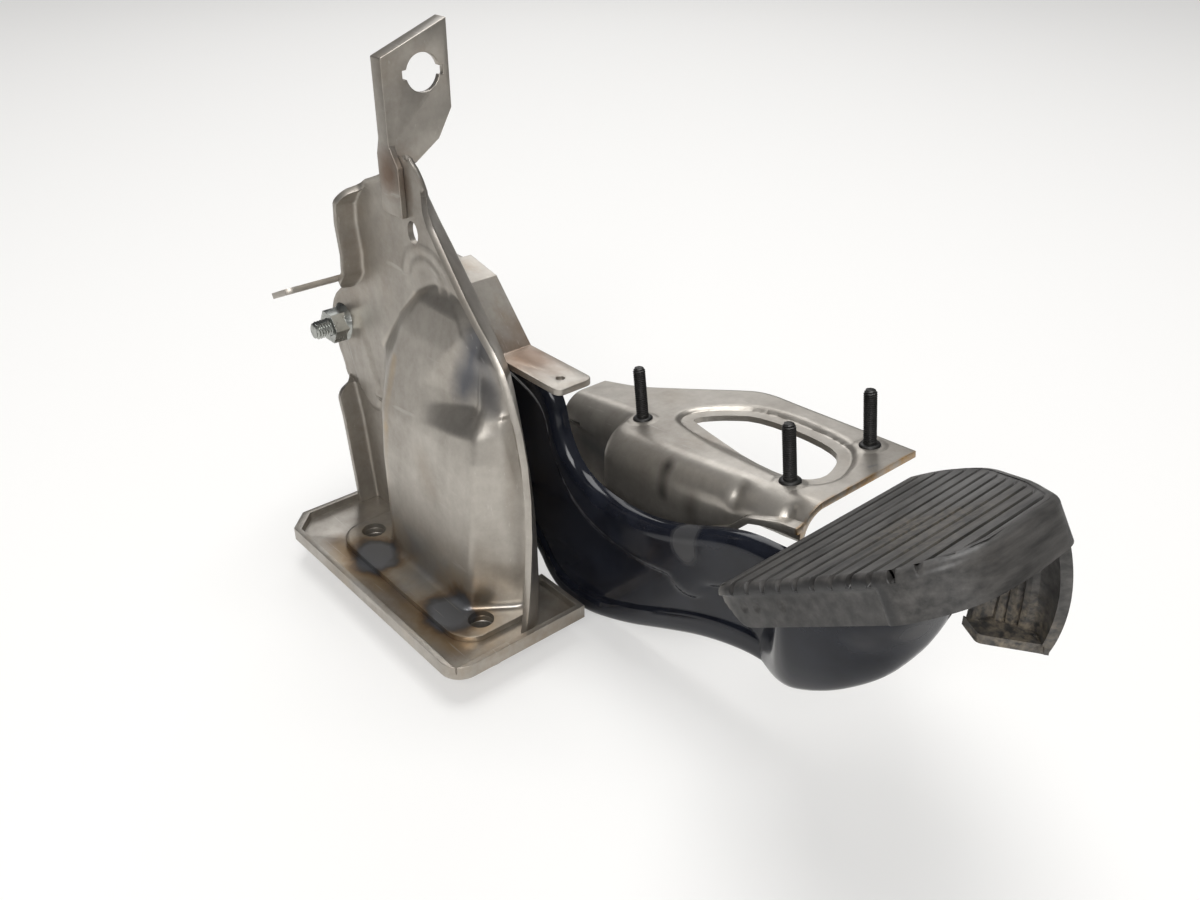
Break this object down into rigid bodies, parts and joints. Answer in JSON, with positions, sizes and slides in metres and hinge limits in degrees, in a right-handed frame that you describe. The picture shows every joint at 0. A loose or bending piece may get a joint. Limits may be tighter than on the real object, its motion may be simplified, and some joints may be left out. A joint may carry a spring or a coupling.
{
  "type": "brake pedal",
  "caption": "Hanging brake pedal: pressed channel arm with a ribbed rubber pad, pivoting in a stamped steel bulkhead bracket with a tilted stud deck.",
  "frame": {"origin": "centre of the four bulkhead bolt holes, on the face the spacers bear against", "axes": "+X along the arm towards the pad, +Y along the pivot bolt towards its head, +Z out of the bulkhead"},
  "size_m": [0.3349, 0.155, 0.23],
  "materials": {
    "bare_steel": "dull rolled",
    "zinc": "zinc plated",
    "black_stud": "phosphated",
    "black_paint": "gloss",
    "bush_plastic": "moulded",
    "pad_rubber": "worn, dusty"
  },
  "bodies": {
    "bracket": {"base_plate": "bare_steel", "bulkhead_spacers": "bare_steel", "near_side_plate": "bare_steel", "far_side_bracket": "bare_steel", "mounting_studs": "black_stud", "stop_bracket": "bare_steel", "switch_bracket": "bare_steel", "pivot_bolt": "zinc", "pivot_washer": "zinc", "pivot_nut": "zinc", "pivot_sleeve": "zinc"},
    "pedal": {"pedal_hub": "black_paint", "pivot_bush_near": "bush_plastic", "pivot_bush_far": "bush_plastic", "pedal_arm": "black_paint", "clevis_bush": "zinc", "pad_support": "black_paint", "pad_plate": "black_paint", "pad_rubber": "pad_rubber"}
  },
  "joints": [
    {"name": "pedal_pivot", "type": "hinge", "parent": "bracket", "child": "pedal", "pos_m": [-0.08, 0, 0.099], "axis": [0, -1, 0], "range_deg": [0, 20]}
  ]
}
